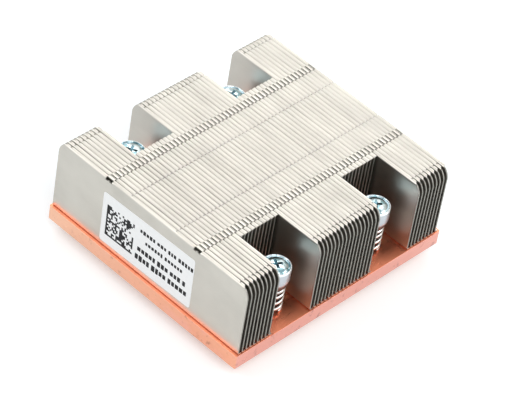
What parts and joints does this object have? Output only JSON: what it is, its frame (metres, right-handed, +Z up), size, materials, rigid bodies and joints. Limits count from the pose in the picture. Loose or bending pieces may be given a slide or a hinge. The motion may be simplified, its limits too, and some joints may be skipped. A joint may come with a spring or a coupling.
{
  "type": "passive heatsink",
  "caption": "Passive heatsink for a server processor: copper base, folded interlocking aluminium fins, and spring-loaded captive screws standing in wells of the fin stack.",
  "frame": {"origin": "middle of the contact pad's face, on the underside of the base plate", "axes": "+Z up out of the processor, X along the fins and the air's way, Y across the stack; the label faces -Y"},
  "size_m": [0.092, 0.1006, 0.0404],
  "materials": {
    "base_copper": "satin copper, lightly brushed",
    "fin_aluminium": "warm nickel-like satin sheet",
    "screw_zinc": "bright blue-white zinc plating",
    "clip_steel": "spring steel",
    "spring_steel": "bright spring wire",
    "label_film": "matt white sticker"
  },
  "bodies": {
    "heatsink": {"base_plate": "base_copper", "label": "label_film", "fin_01": "fin_aluminium", "fin_02": "fin_aluminium", "fin_03": "fin_aluminium", "fin_04": "fin_aluminium", "fin_05": "fin_aluminium", "fin_06": "fin_aluminium", "fin_07": "fin_aluminium", "fin_08": "fin_aluminium", "fin_09": "fin_aluminium", "fin_20": "fin_aluminium", "fin_21": "fin_aluminium", "fin_22": "fin_aluminium", "fin_23": "fin_aluminium", "fin_24": "fin_aluminium", "fin_25": "fin_aluminium", "fin_26": "fin_aluminium", "fin_27": "fin_aluminium", "fin_28": "fin_aluminium", "fin_29": "fin_aluminium", "fin_30": "fin_aluminium", "fin_31": "fin_aluminium", "fin_32": "fin_aluminium", "fin_33": "fin_aluminium", "fin_34": "fin_aluminium", "fin_35": "fin_aluminium", "fin_36": "fin_aluminium", "fin_47": "fin_aluminium", "fin_48": "fin_aluminium", "fin_49": "fin_aluminium", "fin_50": "fin_aluminium", "fin_51": "fin_aluminium", "fin_52": "fin_aluminium", "fin_53": "fin_aluminium", "fin_54": "fin_aluminium", "fin_55": "fin_aluminium", "short_fins_10_11": "fin_aluminium", "short_fins_12_13": "fin_aluminium", "short_fins_14_15": "fin_aluminium", "short_fins_16_17": "fin_aluminium", "short_fins_18_19": "fin_aluminium", "short_fins_37_38": "fin_aluminium", "short_fins_39_40": "fin_aluminium", "short_fins_41_42": "fin_aluminium", "short_fins_43_44": "fin_aluminium", "short_fins_45_46": "fin_aluminium", "screw_spring_1": "spring_steel", "screw_spring_2": "spring_steel", "screw_spring_3": "spring_steel", "screw_spring_4": "spring_steel"},
    "clip_1": {"retaining_clip_1": "clip_steel"},
    "screw_1": {"captive_screw_1": "screw_zinc"},
    "clip_2": {"retaining_clip_2": "clip_steel"},
    "screw_2": {"captive_screw_2": "screw_zinc"},
    "clip_3": {"retaining_clip_3": "clip_steel"},
    "screw_3": {"captive_screw_3": "screw_zinc"},
    "clip_4": {"retaining_clip_4": "clip_steel"},
    "screw_4": {"captive_screw_4": "screw_zinc"}
  },
  "joints": [
    {"name": "screw_1_press", "type": "slide", "parent": "heatsink", "child": "clip_1", "axis": [0, 0, 1], "range_m": [-0.0045, 0], "stiffness_N_per_m": 8000, "springref_m": 0.0002, "deforming": ["screw_spring_1"]},
    {"name": "screw_1_turn", "type": "hinge", "parent": "clip_1", "child": "screw_1", "pos_m": [-0.0353, -0.0243, 0], "axis": [0, 0, 1], "continuous": true},
    {"name": "screw_2_press", "type": "slide", "parent": "heatsink", "child": "clip_2", "axis": [0, 0, 1], "range_m": [-0.0045, 0], "stiffness_N_per_m": 8000, "springref_m": 0.0002, "deforming": ["screw_spring_2"]},
    {"name": "screw_2_turn", "type": "hinge", "parent": "clip_2", "child": "screw_2", "pos_m": [0.0353, -0.0243, 0], "axis": [0, 0, 1], "continuous": true},
    {"name": "screw_3_press", "type": "slide", "parent": "heatsink", "child": "clip_3", "axis": [0, 0, 1], "range_m": [-0.0045, 0], "stiffness_N_per_m": 8000, "springref_m": 0.0002, "deforming": ["screw_spring_3"]},
    {"name": "screw_3_turn", "type": "hinge", "parent": "clip_3", "child": "screw_3", "pos_m": [-0.0353, 0.0243, 0], "axis": [0, 0, 1], "continuous": true},
    {"name": "screw_4_press", "type": "slide", "parent": "heatsink", "child": "clip_4", "axis": [0, 0, 1], "range_m": [-0.0045, 0], "stiffness_N_per_m": 8000, "springref_m": 0.0002, "deforming": ["screw_spring_4"]},
    {"name": "screw_4_turn", "type": "hinge", "parent": "clip_4", "child": "screw_4", "pos_m": [0.0353, 0.0243, 0], "axis": [0, 0, 1], "continuous": true}
  ]
}
